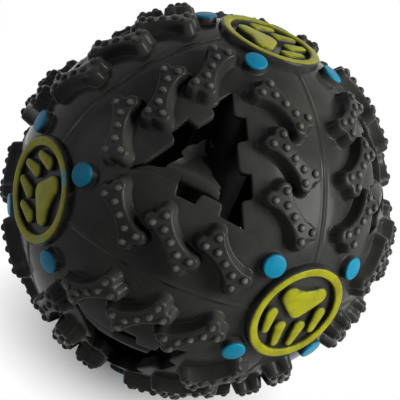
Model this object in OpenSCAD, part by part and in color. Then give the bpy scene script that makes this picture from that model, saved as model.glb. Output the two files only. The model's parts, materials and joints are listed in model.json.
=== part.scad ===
// Treat dispensing ball: a hollow rubber ball with eight toothed windows, a soft flap in each,
// a tread of small bones, six paw badges and a sliding sound weight inside.
// The origin is the ball's centre. It stands on its bottom badge, with +Z up and -Y at the front.

/* [Ball] */
// Radius of the smooth skin
skin_r = 44; // [42:0.5:48]
// Thickness of the rubber skin
skin_wall = 2.8; // [2.4:0.1:3]
// Radius of the thin raised crease lines
crease_r = 0.45; // [0.3:0.05:0.6]

/* [Windows] */
// From the window's middle to the tips of its teeth
tooth_out = 6.7; // [6.3:0.1:7]
// From the window's middle to the bottoms of its notches
notch_out = 9.2; // [8.8:0.1:9.6]
// From the window's middle to its pointed end
tip_out = 15.6; // [15:0.1:16]
// Width of the slit that runs to the pointed end
slit_w = 1.1; // [0.8:0.1:1.4]
// How far a notch narrows on each side to its bottom
notch_draw = 0.4; // [0.2:0.05:0.5]
// Where the notch in each long side starts, before that side's middle
notch_back = 2.4; // [2.2:0.1:2.6]
// Width of the notch in each long side
notch_w = 5.2; // [5:0.1:5.4]
// Where the corner pocket in each long side ends, before that side's middle
corner_back = 7.2; // [7:0.1:7.4]
// Where the notches in the short side start, from its middle
back_notch_from = 3.2; // [3:0.1:3.6]
// Width of each notch in the short side
back_notch_w = 5.8; // [5.4:0.1:6]

/* [Flaps] */
// Gap between a closed flap and the teeth
flap_gap = 0.6; // [0.5:0.05:0.8]
// Gap between a flap's rolled edge and the skin
hinge_gap = 0.3; // [0.25:0.05:0.4]
// How far a flap is moulded inwards, in degrees
flap_tilt = 36; // [30:1:40]
// From the middle of the hinged side to the rolled edge's end near the tip
roll_fore = 6.6; // [6.2:0.1:7]
// From the middle of the hinged side to the rolled edge's other end
roll_aft = 6.2; // [6:0.1:6.4]
// From the window's middle to the flap's free long side beside its root
flap_front_out = 3.2; // [2.8:0.1:3.6]
// From the window's middle to that side just past its step
flap_step_out = 5.3; // [4.8:0.1:5.8]
// From that side's middle to the step, towards the tip
flap_step_at = 2.6; // [2:0.1:3]
// From the window's middle to that side at the far corner
flap_corner_out = 7.3; // [6.6:0.1:8]
// Depth of the hollow in the flap's free short side
flap_hollow = 2.6; // [1:0.1:3]
// Width of the flap's blunt far corner
corner_cut = 1.5; // [1:0.1:2]

/* [Bones] */
// Height of a bone above the skin
bone_h = 3; // [2.6:0.1:3.4]
// Length of a bone
bone_len = 15; // [14:0.1:15.6]
// Width of a bone over its knuckles
bone_end_w = 6.8; // [6:0.1:7.2]
// Width of a bone at its waist
bone_waist_w = 3.6; // [3.2:0.1:4.4]
// Radius of a bone's knuckles
knuckle_r = 1.8; // [1.6:0.1:1.9]
// Depth of the dip between two knuckles
bone_dip = 0.6; // [0.3:0.1:0.8]
// Radius of the nubs on a bone
nub_r = 0.7; // [0.5:0.05:0.8]
// Distance between nubs along a bone's waist
nub_step = 2.9; // [2.7:0.1:3]
// From a bone's middle to the pairs of nubs
nub_end = 5.3; // [5.1:0.1:5.6]
// Half the distance between the two nubs of a pair
nub_half_w = 1.6; // [1.4:0.1:1.7]
// Angle from an upright side crease or the equator to the middles of its rows of bones
row_lift = 12; // [11.5:0.5:13]
// The same angle for the rows beside the crease through the left and right badges
cross_row_lift = 14; // [13.5:0.5:14.5]
// Angle along a row, from the badge that its inner ends lean to, to its middle bone
row_middle = 46.3; // [45.5:0.1:47]
// Angle between bones along a row
row_step = 15; // [14.6:0.1:15.2]
// Angle between a bone and its row
bone_turn = 40; // [39:1:41]

/* [Badges] */
// Radius of a badge
badge_r = 12.2; // [11.8:0.1:12.4]
// Height of a badge's ring above the skin beside it
badge_lift = 1.9; // [1.8:0.1:2.4]
// Depth of the badge's pocket below the skin beside it
pocket_depth = 1; // [0.8:0.05:1.1]
// Depth of the floor inside the ring
floor_depth = 1.3; // [1:0.1:1.5]
// Width of the bare rim outside the yellow ring
rim_w = 0.4; // [0.3:0.1:0.8]
// Width of the yellow ring
ring_w = 2; // [1.8:0.1:2.2]
// Radius of the plug behind a badge
plug_r = 8; // [7:0.1:8.2]
// Length of that plug
plug_len = 1.8; // [1.6:0.1:2.2]

/* [Paws] */
// Radius of the main pad's front lobe
pad_front_r = 2.6; // [2.3:0.1:2.8]
// From the badge's middle back to the front lobe
pad_front_x = 1.1; // [0.8:0.1:1.4]
// Radius of the main pad's two rear lobes
pad_rear_r = 2.3; // [2:0.1:2.5]
// From the badge's middle back to the rear lobes
pad_rear_x = 4.4; // [4:0.1:4.8]
// From the badge's middle sideways to the rear lobes
pad_rear_y = 3.9; // [3.6:0.1:4.2]
// Radius of the dip between the rear lobes
pad_dip_r = 1.8; // [1.4:0.1:2.4]
// Length of a toe
toe_len = 7; // [6.4:0.1:7.3]
// Width of a toe at its rear end
toe_w = 3.3; // [2.9:0.1:3.5]
// Width of a toe at its tip
toe_tip_w = 2.2; // [1.8:0.1:2.6]
// From the badge's middle forwards to the two inner toes
inner_toe_x = 5.6; // [5.3:0.1:5.8]
// From the badge's middle sideways to the inner toes
inner_toe_y = 2.5; // [2.2:0.1:2.8]
// From the badge's middle forwards to the two outer toes
outer_toe_x = 2; // [1.6:0.1:2.4]
// From the badge's middle sideways to the outer toes
outer_toe_y = 6.7; // [6.4:0.1:6.9]
// Angle that an inner toe leans inwards by
inner_lean = 8; // [0:1:14]
// Angle that an outer toe leans inwards by
outer_lean = 4; // [0:1:14]

/* [Studs] */
// Radius of a stud
stud_r = 2.65; // [2.4:0.05:2.8]
// Height of a stud above the skin
stud_h = 1.9; // [1.5:0.1:2.1]
// Gap between a badge and the studs round it
stud_gap = 0.5; // [0.4:0.1:0.8]

/* [Sound unit] */
// Outside radius of the tube
tube_r = 8; // [7.5:0.1:8.4]
// Wall of the tube
tube_wall = 1.2; // [1:0.1:1.4]
// Thickness of a tube cap's flange
cap_t = 2.4; // [2:0.1:2.8]
// Width of a cap's flange beyond the tube
cap_rim = 1; // [0.8:0.1:1.2]
// Length of a cap's spigot inside the tube
spigot_len = 4; // [3:0.2:5]
// Radius of the bore through a cap
cap_bore_r = 2.2; // [1.8:0.1:2.6]
// Thickness of the soft bumper pads
bumper_t = 3; // [2.6:0.1:3.4]
// Wall of the sockets that hold the tube
socket_wall = 2; // [1.6:0.1:2.4]
// Depth of those sockets below the bumper pad
socket_depth = 4; // [3.4:0.1:4.6]
// Clearance between a cap and its socket
socket_gap = 0.05; // [0.03:0.01:0.1]
// Clearance round the sliding weight, and under it at rest
slide_gap = 0.3; // [0.25:0.05:0.4]
// Length of the reed carrier
carrier_len = 16; // [14:0.5:20]
// Length of the steel ring at its lower end
weight_len = 7; // [6:0.5:8]
// Wall of the steel ring
weight_wall = 2; // [1.6:0.1:2.2]
// Radius of the air channel in the carrier
channel_r = 2.8; // [2.4:0.1:3]
// Depth of the recess at the carrier's top
recess_depth = 3; // [2.4:0.1:4]
// Wall round that recess
recess_wall = 1.4; // [1.2:0.1:1.8]
// Thickness of the reed
reed_t = 0.4; // [0.3:0.05:0.6]
// Width of the reed
reed_w = 2.4; // [2:0.1:3]

/* [Hidden] */
$fn = 64;
fine_fn = 16;
ball_fn = 180;
hollow_steps = 6;
over = 1;
inner_r = skin_r - skin_wall;
mid_r = skin_r - skin_wall / 2;
skin_by_badge = sqrt(skin_r * skin_r - badge_r * badge_r);
badge_z = skin_by_badge + badge_lift;
seat_z = skin_by_badge - pocket_depth;
plug_z = seat_z - plug_len;
floor_z = badge_z - floor_depth;
ring_r = badge_r - rim_w;
far = skin_r + bone_h + nub_r + over;
stud_angle = asin((badge_r + stud_gap + stud_r) / skin_r);
bone_top_r = skin_r + bone_h;

// Windows sit in the middle of each eighth of the ball
face_polar = acos(1 / sqrt(3));
face_turn = 45;
side_turn = 60;

cap_z = plug_z - bumper_t;
tube_end = cap_z - cap_t;
tube_in_r = tube_r - tube_wall;
cap_r = tube_r + cap_rim;
socket_r = cap_r + socket_gap;
slide_r = tube_in_r - slide_gap;
slide_z = spigot_len - tube_end + slide_gap;
weight_in_r = slide_r - weight_wall;
reed_len = 2 * (slide_r - recess_wall);

BADGES = [
    ["left", [-1, 0, 0], [0, 1, 0]],
    ["right", [1, 0, 0], [0, -1, 0]],
    ["front", [0, -1, 0], [0, 0, -1]],
    ["back", [0, 1, 0], [0, 0, 1]],
    ["top", [0, 0, 1], [1, 0, 0]],
    ["bottom", [0, 0, -1], [-1, 0, 0]]
];
CORNERS = [
    for (z = [1, -1], y = [-1, 1], x = [-1, 1])
        [str(y < 0 ? "front" : "back", x < 0 ? "_left" : "_right", z < 0 ? "_lower" : "_upper"), [x, y, z]]
];

rubber = "#26262a";
yellow = "#c8c83c";
blue = "#1e96b9";

function unit(v) = v / norm(v);
// Placing matrix from three unit axes and an origin, and its inverse
function frame_of(x, y, z, o) = [
    [x[0], y[0], z[0], o[0]], [x[1], y[1], z[1], o[1]], [x[2], y[2], z[2], o[2]], [0, 0, 0, 1]
];
function frame_back(x, y, z, o) = [
    [x[0], x[1], x[2], -x * o], [y[0], y[1], y[2], -y * o], [z[0], z[1], z[2], -z * o], [0, 0, 0, 1]
];

module ball(r) {
    sphere(r = r, $fn = ball_fn);
}

// Mirrors a shape from the positive eighth of the ball to the one with these signs
module in_corner(signs) {
    mirror([signs[0] < 0 ? 1 : 0, 0, 0])
        mirror([0, signs[1] < 0 ? 1 : 0, 0])
            mirror([0, 0, signs[2] < 0 ? 1 : 0])
                children();
}

// Stands a shape on the middle of the positive eighth, with +X towards the X badge
module on_face() {
    rotate([0, face_polar, face_turn]) rotate([0, 0, -side_turn]) children();
}

// Stands a shape on a badge, with +X in the direction of the paw's toes
module on_badge(b) {
    multmatrix(frame_of(b[2], cross(b[1], b[2]), b[1], [0, 0, 0])) children();
}

// A point beside one long side of the window: how far out from the middle, and how far along
function by_side(out, along) = [
    out * cos(side_turn) + along * sin(side_turn), out * sin(side_turn) - along * cos(side_turn)
];
function flip(p) = [p[0], -p[1]];
function flipped(points) = [for (i = [len(points) - 1 : -1 : 0]) flip(points[i])];

window_half = [
    [-tooth_out, back_notch_from],
    [-notch_out, back_notch_from + notch_draw],
    [-notch_out, back_notch_from + back_notch_w - notch_draw],
    [-tooth_out, back_notch_from + back_notch_w],
    [-tooth_out, (notch_out + tooth_out * cos(side_turn)) / sin(side_turn)],
    by_side(notch_out, -corner_back - notch_draw),
    by_side(tooth_out, -corner_back),
    by_side(tooth_out, -notch_back),
    by_side(notch_out, notch_draw - notch_back),
    by_side(notch_out, notch_w - notch_back - notch_draw),
    by_side(tooth_out, notch_w - notch_back),
    [(tooth_out - sin(side_turn) * slit_w / 2) / cos(side_turn), slit_w / 2],
    [tip_out, slit_w / 4]
];

// Rolled edge of the flap: a straight rod along the hinged side, half as thick as the skin each way
roll_out = tooth_out - hinge_gap - skin_wall / 2;
roll_lo = by_side(roll_out, -roll_aft);
roll_hi = by_side(roll_out, roll_fore);
function on_ball(p, r) = [p[0], p[1], sqrt(r * r - p * p)];
roll_a = on_ball(roll_lo, mid_r);
roll_b = on_ball(roll_hi, mid_r);
roll_x = unit(roll_b - roll_a);
roll_z = unit(roll_a + roll_b);
roll_y = cross(roll_z, roll_x);
roll_len = norm(roll_b - roll_a);
// The rod is lifted by half the rise of the arc that it stands for
roll_rise = (mid_r - norm(roll_a + roll_b) / 2) / 2;
roll_o = (roll_a + roll_b) / 2 + roll_rise * roll_z;

tooth_in = tooth_out - flap_gap;
// Far corner of the flap, where its two free sides would meet
corner_y = (flap_corner_out + tooth_in * cos(side_turn)) / sin(side_turn);
corner_along = -tooth_in * sin(side_turn) - corner_y * cos(side_turn);
far_corner = [-tooth_in, corner_cut - corner_y];
// The free short side, hollowed along a parabola
short_side = far_corner - roll_lo;
hollow_way = [-short_side[1], short_side[0]] / norm(short_side);
function hollow_point(t) = roll_lo + t * short_side + 4 * t * (1 - t) * flap_hollow * hollow_way;
flap_outline = concat(
    [roll_hi, roll_lo],
    [for (i = [1 : hollow_steps - 1]) hollow_point(i / hollow_steps)],
    [far_corner],
    [for (p = [
        by_side(flap_corner_out, corner_along + corner_cut),
        by_side(flap_corner_out, -corner_back - notch_draw - flap_gap),
        by_side(tooth_in, -corner_back - flap_gap),
        by_side(flap_step_out, flap_step_at),
        by_side(flap_front_out, flap_step_at + notch_draw),
        by_side(flap_front_out, roll_fore)
    ]) flip(p)]
);

module window_hole() {
    linear_extrude(height = far) polygon(concat(window_half, flipped(window_half)));
}

module crease_rings() {
    for (turn = [[0, 0, 0], [90, 0, 0], [0, 90, 0]])
        rotate(turn) rotate_extrude() translate([skin_r, 0]) circle(r = crease_r, $fn = fine_fn);
}

module badge_pocket() {
    translate([0, 0, seat_z]) cylinder(r = badge_r, h = far - seat_z);
    translate([0, 0, plug_z]) cylinder(r = plug_r, h = seat_z - plug_z + over);
}

// Socket that holds one end of the sound tube
module tube_socket() {
    intersection() {
        translate([0, 0, cap_z - socket_depth]) difference() {
            cylinder(r = socket_r + socket_wall, h = skin_r - cap_z + socket_depth);
            translate([0, 0, -over]) cylinder(r = socket_r, h = plug_z - cap_z + socket_depth + over);
        }
        ball(mid_r);
    }
}

// One eighth of the skin, between three crease lines
module panel(c) {
    color(rubber) in_corner(c[1]) intersection() {
        difference() {
            union() {
                difference() {
                    union() {
                        ball(skin_r);
                        crease_rings();
                    }
                    ball(inner_r);
                }
                tube_socket();
            }
            on_face() window_hole();
            for (b = BADGES) if (b[1] * [1, 1, 1] > 0) on_badge(b) badge_pocket();
        }
        cube(far);
    }
}

module badge(b) {
    color(rubber) on_badge(b) {
        difference() {
            translate([0, 0, seat_z]) cylinder(r = badge_r, h = badge_z - seat_z);
            translate([0, 0, floor_z]) cylinder(r = ring_r, h = floor_depth + over);
        }
        translate([0, 0, plug_z]) cylinder(r = plug_r, h = plug_len);
    }
}

module toe(place, turn) {
    heel = (toe_w - toe_len) / 2;
    tip = (toe_len - toe_tip_w) / 2;
    translate(place) rotate(turn) {
        translate([heel, 0]) circle(r = toe_w / 2);
        translate([tip, 0]) circle(r = toe_tip_w / 2);
        polygon([[heel, toe_w / 2], [heel, -toe_w / 2], [tip, -toe_tip_w / 2], [tip, toe_tip_w / 2]]);
    }
}

module main_pad() {
    difference() {
        union() {
            translate([-pad_front_x, 0]) circle(r = pad_front_r);
            for (s = [-1, 1]) translate([-pad_rear_x, s * pad_rear_y]) circle(r = pad_rear_r);
            polygon([
                [-pad_front_x, pad_front_r], [-pad_rear_x, pad_rear_y + pad_rear_r],
                [-pad_rear_x - pad_rear_r, pad_rear_y], [-pad_rear_x - pad_rear_r, -pad_rear_y],
                [-pad_rear_x, -pad_rear_y - pad_rear_r], [-pad_front_x, -pad_front_r]
            ]);
        }
        translate([-pad_rear_x - pad_rear_r - pad_dip_r / 2, 0]) circle(r = pad_dip_r);
    }
}

module paw(b) {
    color(yellow) on_badge(b) translate([0, 0, floor_z]) linear_extrude(height = floor_depth) {
        difference() {
            circle(r = ring_r);
            circle(r = ring_r - ring_w);
        }
        main_pad();
        for (s = [-1, 1]) {
            toe([inner_toe_x, s * inner_toe_y], -s * inner_lean);
            toe([outer_toe_x, s * outer_toe_y], -s * outer_lean);
        }
    }
}

// Four studs round each badge, on the lines to the windows
module studs(b) {
    color(blue) on_badge(b) difference() {
        for (i = [0 : 3]) rotate([0, 0, 90 * i + 45]) rotate([0, stud_angle, 0])
            translate([0, 0, inner_r]) cylinder(r = stud_r, h = skin_wall + stud_h);
        ball(skin_r);
    }
}

module flap(c) {
    color(rubber) in_corner(c[1]) on_face()
        multmatrix(frame_of(roll_x, roll_y, roll_z, roll_o)) rotate([flap_tilt, 0, 0])
            multmatrix(frame_back(roll_x, roll_y, roll_z, roll_o)) {
                intersection() {
                    linear_extrude(height = far) polygon(flap_outline);
                    difference() {
                        ball(skin_r);
                        ball(inner_r);
                    }
                }
                multmatrix(frame_of(roll_x, roll_y, roll_z, roll_o)) rotate([0, 90, 0])
                    cylinder(r = skin_wall / 2, h = roll_len, center = true);
            }
}

// Radius of the arc along a bone's waist, through the waist and beside the knuckles' middles
bone_rise = (bone_end_w - bone_waist_w) / 2;
bone_reach = bone_len / 2 - knuckle_r;
waist_r = (bone_reach * bone_reach + bone_rise * bone_rise) / (2 * bone_rise);

knuckle_y = bone_end_w / 2 - knuckle_r;

module bone_outline() {
    difference() {
        square([2 * bone_reach, 2 * knuckle_y + knuckle_r], center = true);
        for (y = [-1, 1]) translate([0, y * (bone_waist_w / 2 + waist_r)]) circle(r = waist_r);
    }
    square([bone_len - 2 * bone_dip, 2 * knuckle_y], center = true);
    for (x = [-1, 1], y = [-1, 1]) translate([x * bone_reach, y * knuckle_y]) circle(r = knuckle_r);
}

nub_places = concat(
    [for (i = [-1 : 1]) [i * nub_step, 0]],
    [for (x = [-1, 1], y = [-1, 1]) [x * nub_end, y * nub_half_w]]
);

module bone_block() {
    translate([0, 0, inner_r]) linear_extrude(height = far - inner_r) bone_outline();
}

module bone_nubs() {
    for (p = nub_places) translate(on_ball(p, bone_top_r)) sphere(r = nub_r, $fn = fine_fn);
}

AXES = [[1, 0, 0], [0, 1, 0], [0, 0, 1]];
// Rows beside the three creases of one eighth: the crease's plane, the badge that the bones' outer
// ends lean to, the badge at the other end, and the angle from the crease
ROWS = [[0, 1, 2, row_lift], [1, 2, 0, cross_row_lift], [2, 1, 0, row_lift]];

// Puts a bone in a row, at an angle along it
module in_row(row, along) {
    plane = AXES[row[0]];
    outward = cos(along) * AXES[row[2]] + sin(along) * AXES[row[1]];
    place = cos(row[3]) * outward + sin(row[3]) * plane;
    forward = cos(along) * AXES[row[1]] - sin(along) * AXES[row[2]];
    down = sin(row[3]) * outward - cos(row[3]) * plane;
    x = cos(bone_turn) * forward + sin(bone_turn) * down;
    multmatrix(frame_of(x, cross(place, x), place, [0, 0, 0])) children();
}

// Every bone of one eighth of the ball gets the same children
module each_bone() {
    for (row = ROWS, i = [-1 : 1]) in_row(row, row_middle + i * row_step) children();
}

module bones(c) {
    color(rubber) in_corner(c[1]) difference() {
        union() {
            intersection() {
                each_bone() bone_block();
                ball(bone_top_r);
            }
            each_bone() bone_nubs();
        }
        ball(skin_r);
    }
}

module sound_tube() {
    color("#1c1c1e") difference() {
        cylinder(r = tube_r, h = 2 * tube_end, center = true);
        cylinder(r = tube_in_r, h = 2 * tube_end + over, center = true);
    }
}

module tube_cap(side) {
    color("#242426") mirror([0, 0, side < 0 ? 1 : 0]) difference() {
        union() {
            translate([0, 0, tube_end]) cylinder(r = cap_r, h = cap_t);
            translate([0, 0, tube_end - spigot_len]) cylinder(r = tube_in_r, h = spigot_len + cap_t);
        }
        translate([0, 0, tube_end - spigot_len - over])
            cylinder(r = cap_bore_r, h = spigot_len + cap_t + 2 * over);
    }
}

module bumper(side) {
    color("#3a3a40") mirror([0, 0, side < 0 ? 1 : 0]) translate([0, 0, cap_z]) difference() {
        cylinder(r = cap_r, h = bumper_t);
        translate([0, 0, -over]) cylinder(r = cap_bore_r, h = bumper_t + 2 * over);
    }
}

module reed_carrier() {
    color("#d86030") translate([0, 0, slide_z]) difference() {
        cylinder(r = slide_r, h = carrier_len);
        translate([0, 0, -over]) cylinder(r = channel_r, h = carrier_len + 2 * over);
        translate([0, 0, carrier_len - recess_depth])
            cylinder(r = slide_r - recess_wall, h = recess_depth + over);
        translate([0, 0, -over]) difference() {
            cylinder(r = slide_r + over, h = weight_len + over);
            cylinder(r = weight_in_r, h = weight_len + over);
        }
    }
}

module weight_ring() {
    color("#a0a0a4") translate([0, 0, slide_z]) difference() {
        cylinder(r = slide_r, h = weight_len);
        translate([0, 0, -over]) cylinder(r = weight_in_r, h = weight_len + 2 * over);
    }
}

module reed() {
    color("#c8a040") translate([0, 0, slide_z + carrier_len - recess_depth]) intersection() {
        cylinder(r = reed_len / 2, h = reed_t);
        translate([-reed_len, -reed_w / 2, 0]) cube([2 * reed_len, reed_w, reed_t]);
    }
}

for (b = BADGES) {
    badge(b);
    paw(b);
    studs(b);
}
for (c = CORNERS) {
    panel(c);
    flap(c);
    bones(c);
}
sound_tube();
tube_cap(1);  // tube_cap_upper
tube_cap(-1);  // tube_cap_lower
bumper(1);  // bumper_upper
bumper(-1);  // bumper_lower
reed_carrier();
weight_ring();
reed();
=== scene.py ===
import json
import math

import bmesh
import bpy
from mathutils import Matrix, Vector


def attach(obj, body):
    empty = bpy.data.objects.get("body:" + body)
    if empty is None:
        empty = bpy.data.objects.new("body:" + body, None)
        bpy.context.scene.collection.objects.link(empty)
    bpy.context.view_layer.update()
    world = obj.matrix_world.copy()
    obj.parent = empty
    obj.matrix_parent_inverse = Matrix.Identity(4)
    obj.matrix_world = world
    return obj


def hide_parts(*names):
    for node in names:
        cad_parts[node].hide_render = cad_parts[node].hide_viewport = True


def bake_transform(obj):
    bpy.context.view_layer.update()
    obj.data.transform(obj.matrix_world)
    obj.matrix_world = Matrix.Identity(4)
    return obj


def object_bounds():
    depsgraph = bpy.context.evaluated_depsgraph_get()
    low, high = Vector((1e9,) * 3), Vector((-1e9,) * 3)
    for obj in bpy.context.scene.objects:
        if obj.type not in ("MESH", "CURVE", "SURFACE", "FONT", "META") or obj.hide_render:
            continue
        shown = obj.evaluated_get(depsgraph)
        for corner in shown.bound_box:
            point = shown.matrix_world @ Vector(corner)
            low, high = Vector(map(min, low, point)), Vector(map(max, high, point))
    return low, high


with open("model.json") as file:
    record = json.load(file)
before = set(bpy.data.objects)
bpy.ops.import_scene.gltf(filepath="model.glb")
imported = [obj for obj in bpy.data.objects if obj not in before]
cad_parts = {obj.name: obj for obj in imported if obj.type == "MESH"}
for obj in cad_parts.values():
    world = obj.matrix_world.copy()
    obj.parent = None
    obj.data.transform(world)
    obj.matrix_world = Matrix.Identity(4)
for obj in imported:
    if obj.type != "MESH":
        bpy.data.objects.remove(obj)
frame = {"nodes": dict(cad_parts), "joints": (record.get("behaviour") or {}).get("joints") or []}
box_at_load = [list(corner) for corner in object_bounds()]

# ---------------------------------------------------------------- sizes, in mm and degrees
SKIN_R = 44.0
SKIN_WALL = 2.8
INNER_R = SKIN_R - SKIN_WALL
MID_R = SKIN_R - SKIN_WALL / 2

# Window: how far out from its middle the teeth, the notches and the tip are, and the notches along its sides
TOOTH_OUT, NOTCH_OUT, TIP_OUT = 6.7, 9.2, 15.6
SLIT_W = 1.1
NOTCH_DRAW, NOTCH_BACK, NOTCH_W = 0.4, 2.4, 5.2
CORNER_BACK = 7.2
BACK_NOTCH_FROM, BACK_NOTCH_W = 3.2, 5.8

# Flap: the gap at its rolled edge, its tilt at rest, and how far the roll reaches to the tip and away from it
HINGE_GAP, FLAP_TILT = 0.3, 36.0
ROLL_FORE, ROLL_AFT = 6.6, 6.2

# Bones, their nubs, and their rows beside the creases
BONE_LEN, BONE_END_W, BONE_WAIST_W = 15.0, 6.8, 3.8
KNUCKLE_R = 1.8
NUB_R, NUB_STEP, NUB_END, NUB_SIDE = 0.7, 2.9, 5.3, 1.6
ROW_MIDDLE, ROW_STEP, BONE_TURN = 46.3, 15.0, 40.0

# Badges, paw rings, studs and the sockets of the sound tube
BADGE_R, BADGE_LIFT, POCKET_DEPTH, FLOOR_DEPTH = 12.2, 1.9, 1.0, 1.3
RIM_W, RING_W, PLUG_R, PLUG_LEN = 0.4, 2.0, 8.0, 1.8
STUD_R, STUD_H, STUD_GAP = 2.65, 1.9, 0.5
CAP_R, SOCKET_GAP, SOCKET_WALL, SOCKET_DEPTH, BUMPER_T = 9.0, 0.05, 2.0, 4.0, 3.0
# The socket ends inside the skin's wall
SOCKET_TOP, SOCKET_CHAMFER = 41.0, 0.3

SKIN_BY_BADGE = math.sqrt(SKIN_R ** 2 - BADGE_R ** 2)
BADGE_Z = SKIN_BY_BADGE + BADGE_LIFT
SEAT_Z = SKIN_BY_BADGE - POCKET_DEPTH
PLUG_Z = SEAT_Z - PLUG_LEN
FLOOR_Z = BADGE_Z - FLOOR_DEPTH
CAP_Z = PLUG_Z - BUMPER_T
STUD_ANGLE = math.degrees(math.asin((BADGE_R + STUD_GAP + STUD_R) / SKIN_R))

MM = 0.001
COS60, SIN60 = 0.5, math.sqrt(0.75)

# The face frame of the positive eighth: towards the X badge, towards the Y badge, and outwards
U = Vector((2, -1, -1)).normalized()
V = Vector((0, 1, -1)).normalized()
F = Vector((1, 1, 1)).normalized()

# Each badge's outward direction, and the way its paw's toes point
BADGES = {
    "left": ((-1, 0, 0), (0, 1, 0)),
    "right": ((1, 0, 0), (0, -1, 0)),
    "front": ((0, -1, 0), (0, 0, -1)),
    "back": ((0, 1, 0), (0, 0, 1)),
    "top": ((0, 0, 1), (1, 0, 0)),
    "bottom": ((0, 0, -1), (-1, 0, 0)),
}
# The eight corners of the ball, with the signs that mirror the positive eighth onto each
CORNERS = {
    f"{'front' if y < 0 else 'back'}_{'left' if x < 0 else 'right'}_{'lower' if z < 0 else 'upper'}": (x, y, z)
    for z in (1, -1) for y in (-1, 1) for x in (-1, 1)
}


# ---------------------------------------------------------------- materials
def srgb(text):
    """Linear colour from an sRGB hex text."""
    parts = [int(text[i:i + 2], 16) / 255 for i in (1, 3, 5)]
    return [c / 12.92 if c <= 0.04045 else ((c + 0.055) / 1.055) ** 2.4 for c in parts] + [1.0]


def add(tree, kind, inputs=None, **settings):
    """Adds a shader node. Inputs are values, or sockets to link from."""
    made = tree.nodes.new(kind)
    for name, value in settings.items():
        setattr(made, name, value)
    for name, value in (inputs or {}).items():
        if isinstance(value, bpy.types.NodeSocket):
            tree.links.new(value, made.inputs[name])
        else:
            made.inputs[name].default_value = value
    return made


def start_material(name):
    """New material with its tree, its Principled shader and the Object coordinates."""
    made = bpy.data.materials.new(name)
    made.use_nodes = True
    tree = made.node_tree
    shader = tree.nodes["Principled BSDF"]
    place = add(tree, "ShaderNodeTexCoord").outputs["Object"]
    return made, tree, shader, place


def per_mm(period):
    """Scale of a noise pattern whose blobs are about this many mm across."""
    return 1 / (period * MM)


RUBBER_DARK, RUBBER_LIGHT = "#252525", "#333331"
# The light grey of the nubs' tops is partly wear and partly a painted highlight
DUST, WORN_AND_HIGHLIT_TIP, SMEAR = "#55554f", "#71716d", "#2b8a9c"
# How far from the middle the bones' nubs begin to turn lighter, and where they are lightest: partly rubbed wear, partly
# a painted highlight on their tips
TIP_LIGHTER_FROM, TIP_LIGHTEST_AT = 47.3, 47.65
# A dull rubber reflects less than a polished plastic
RUBBER_GLOSS = 0.06
PAINT_GLOSS = 0.1
GRAIN_DEPTH = 0.008 * MM


# Socket numbers used below. Map Range: 0 value, 1 and 2 from, 3 and 4 to.
# Mix of colours: 0 factor, 6 and 7 colours, out 2. Math: 0 and 1 values, out 0. Vector Math: 0 and 1 vectors
def rubber_look(tree, place, dark, light):
    """Colour, roughness and height of moulded black rubber: mottled, a little dusty, finely grained."""
    cloud = add(tree, "ShaderNodeTexNoise", {"Vector": place, "Scale": per_mm(9.0), "Detail": 4.0}).outputs["Fac"]
    tone = add(tree, "ShaderNodeMapRange", {0: cloud, 1: 0.35, 2: 0.7}).outputs["Result"]
    colour = add(tree, "ShaderNodeMix", {0: tone, 6: srgb(dark), 7: srgb(light)}, data_type="RGBA").outputs[2]
    # Dust specks of half a millimetre, drawn a little coarser than real dust so that they can be seen
    dust = add(tree, "ShaderNodeTexNoise", {"Vector": place, "Scale": per_mm(0.5), "Detail": 2.0}).outputs["Fac"]
    speck = add(tree, "ShaderNodeMapRange", {0: dust, 1: 0.7, 2: 0.78, 4: 0.2}).outputs["Result"]
    colour = add(tree, "ShaderNodeMix", {0: speck, 6: colour, 7: srgb(DUST)}, data_type="RGBA").outputs[2]
    patch = add(tree, "ShaderNodeTexNoise", {"Vector": place, "Scale": per_mm(4.0), "Detail": 4.0}).outputs["Fac"]
    rough = add(tree, "ShaderNodeMapRange", {0: patch, 1: 0.3, 2: 0.7, 3: 0.17, 4: 0.25}).outputs["Result"]
    grain = add(tree, "ShaderNodeTexNoise", {
        "Vector": place, "Scale": per_mm(0.22), "Detail": 4.0, "Roughness": 0.65}).outputs["Fac"]
    return colour, rough, grain


def skin_material():
    """Moulded black rubber of the skin, bones and flaps."""
    # To the eye: near black with soft sheen along its rounded edges, slightly mottled, its bones' nub tops lighter,
    # partly rubbed and partly a painted highlight
    made, tree, shader, place = start_material("moulded_black_rubber")
    colour, rough, grain = rubber_look(tree, place, RUBBER_DARK, RUBBER_LIGHT)
    # Painted highlight and wear: the nubs' tops, farthest from the middle, are mixed towards a light grey
    outer = add(tree, "ShaderNodeVectorMath", {0: place}, operation="LENGTH").outputs["Value"]
    high = add(tree, "ShaderNodeMapRange", {0: outer, 1: TIP_LIGHTER_FROM * MM, 2: TIP_LIGHTEST_AT * MM}).outputs["Result"]
    wear_and_highlight = add(tree, "ShaderNodeTexNoise", {"Vector": place, "Scale": per_mm(2.0), "Detail": 3.0}).outputs["Fac"]
    wear_and_highlight = add(tree, "ShaderNodeMapRange", {0: wear_and_highlight, 1: 0.3, 2: 0.7, 3: 0.2, 4: 0.8}).outputs["Result"]
    rubbed_and_highlit = add(tree, "ShaderNodeMath", {0: high, 1: wear_and_highlight}, operation="MULTIPLY").outputs[0]
    colour = add(tree, "ShaderNodeMix", {0: rubbed_and_highlit, 6: colour, 7: srgb(WORN_AND_HIGHLIT_TIP)}, data_type="RGBA").outputs[2]
    tree.links.new(colour, shader.inputs["Base Color"])
    tree.links.new(rough, shader.inputs["Roughness"])
    shader.inputs["Specular IOR Level"].default_value = RUBBER_GLOSS
    bump = add(tree, "ShaderNodeBump", {"Height": grain, "Strength": 0.4, "Distance": GRAIN_DEPTH})
    tree.links.new(bump.outputs["Normal"], shader.inputs["Normal"])
    return made


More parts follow.
